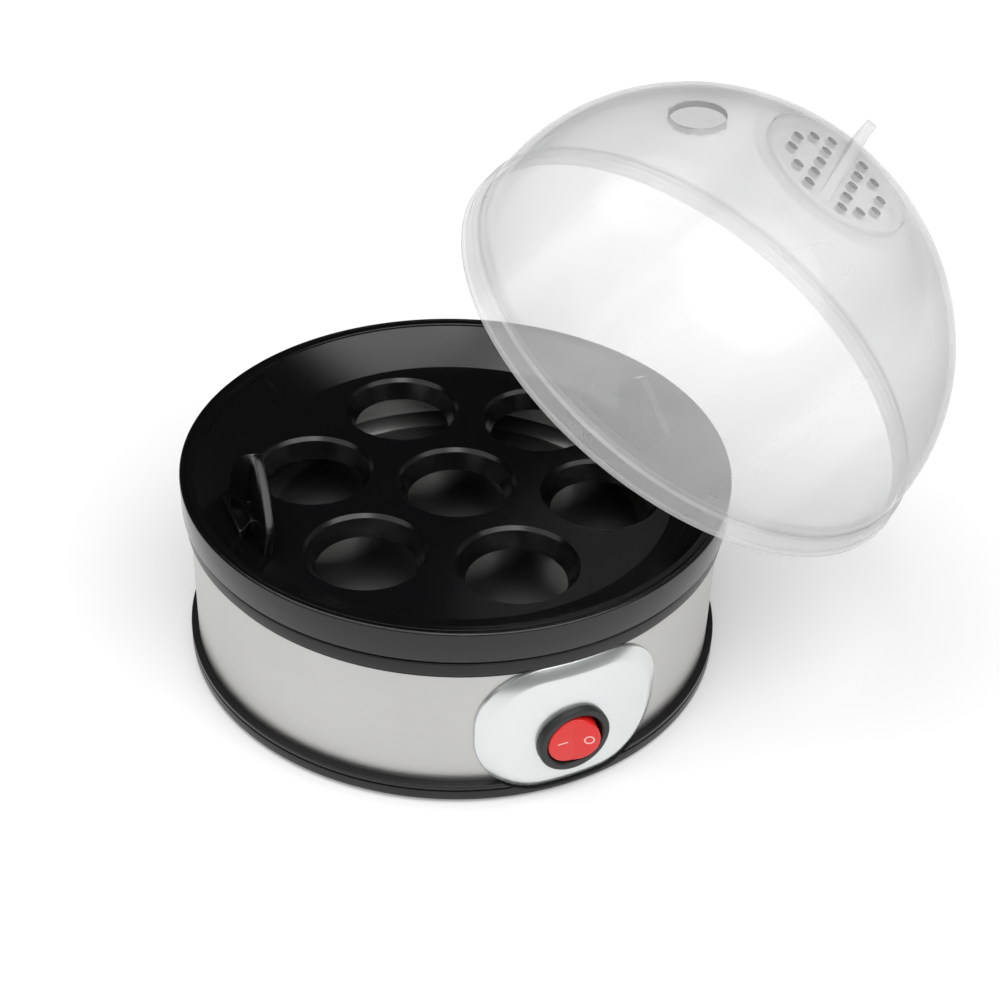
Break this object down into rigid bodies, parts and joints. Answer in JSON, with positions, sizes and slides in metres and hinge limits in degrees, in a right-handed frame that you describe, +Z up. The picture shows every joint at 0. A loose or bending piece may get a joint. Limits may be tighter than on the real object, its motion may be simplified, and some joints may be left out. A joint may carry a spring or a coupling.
{
  "type": "egg boiler",
  "caption": "Round electric egg boiler with a steel band, black seat tray with grip fins, rocker switch panel and a clear domed lid held open.",
  "frame": {"origin": "on the axis of the round body, in the plane of the four feet's undersides", "axes": "+Z up along the round body's axis, -Y towards the switch panel, +X to the right of someone who faces the panel"},
  "size_m": [0.2616, 0.1913, 0.1875],
  "materials": {
    "black_plastic": "semi-gloss black moulding",
    "tray_plastic": "gloss black moulding",
    "foot_rubber": "soft matt black",
    "brushed_band": "fine brushed stainless steel",
    "plated_steel": "zinc plated",
    "seal_rubber": "grey silicone",
    "stainless_pan": "satin stainless steel",
    "cast_aluminium": "cast",
    "dark_moulding": "fine matt dark grey",
    "tab_brass": "bright",
    "white_sleeve": "white moulding",
    "brown_wire": "brown insulation",
    "blue_wire": "blue insulation",
    "green_wire": "green insulation",
    "silver_panel": "pale silver lacquer",
    "red_rocker": "red moulding with plain on and off marks",
    "clear_lid": "clear plastic with a slight haze"
  },
  "bodies": {
    "base": {"bottom_shell": "black_plastic", "rubber_feet": "foot_rubber", "steel_band": "brushed_band", "top_collar": "black_plastic", "base_screws": "plated_steel", "plate_gasket": "seal_rubber", "heating_plate": "stainless_pan", "heating_element": "cast_aluminium", "element_pins": "plated_steel", "clamp_bracket": "plated_steel", "plate_nuts": "plated_steel", "thermostat": "dark_moulding", "heat_tabs": "tab_brass", "thermal_fuse": "white_sleeve", "live_wires": "brown_wire", "neutral_wire": "blue_wire", "earth_wire": "green_wire", "terminal_block": "white_sleeve", "terminal_screws": "tab_brass", "cord_bush": "dark_moulding", "control_panel": "silver_panel", "panel_clips": "plated_steel", "switch_housing": "dark_moulding", "switch_tabs": "tab_brass"},
    "rocker": {"switch_rocker": "red_rocker"},
    "tray": {"egg_tray": "tray_plastic"},
    "lid": {"lid_dome": "clear_lid", "vent_cap": "clear_lid"}
  },
  "joints": [
    {"name": "tray_lift", "type": "slide", "parent": "base", "child": "tray", "axis": [0, 0, 1], "range_m": [0, 0.06]},
    {"name": "lid_swing", "type": "hinge", "parent": "tray", "child": "lid", "pos_m": [0.05925, -0.09226, 0.00919], "axis": [0.3285, 0.6591, -0.6765], "range_deg": [-40.63, 0]},
    {"name": "switch_rocker_turn", "type": "hinge", "parent": "base", "child": "rocker", "pos_m": [0, -0.0916, 0.0205], "axis": [0, 0, 1], "range_deg": [0, 20]}
  ]
}
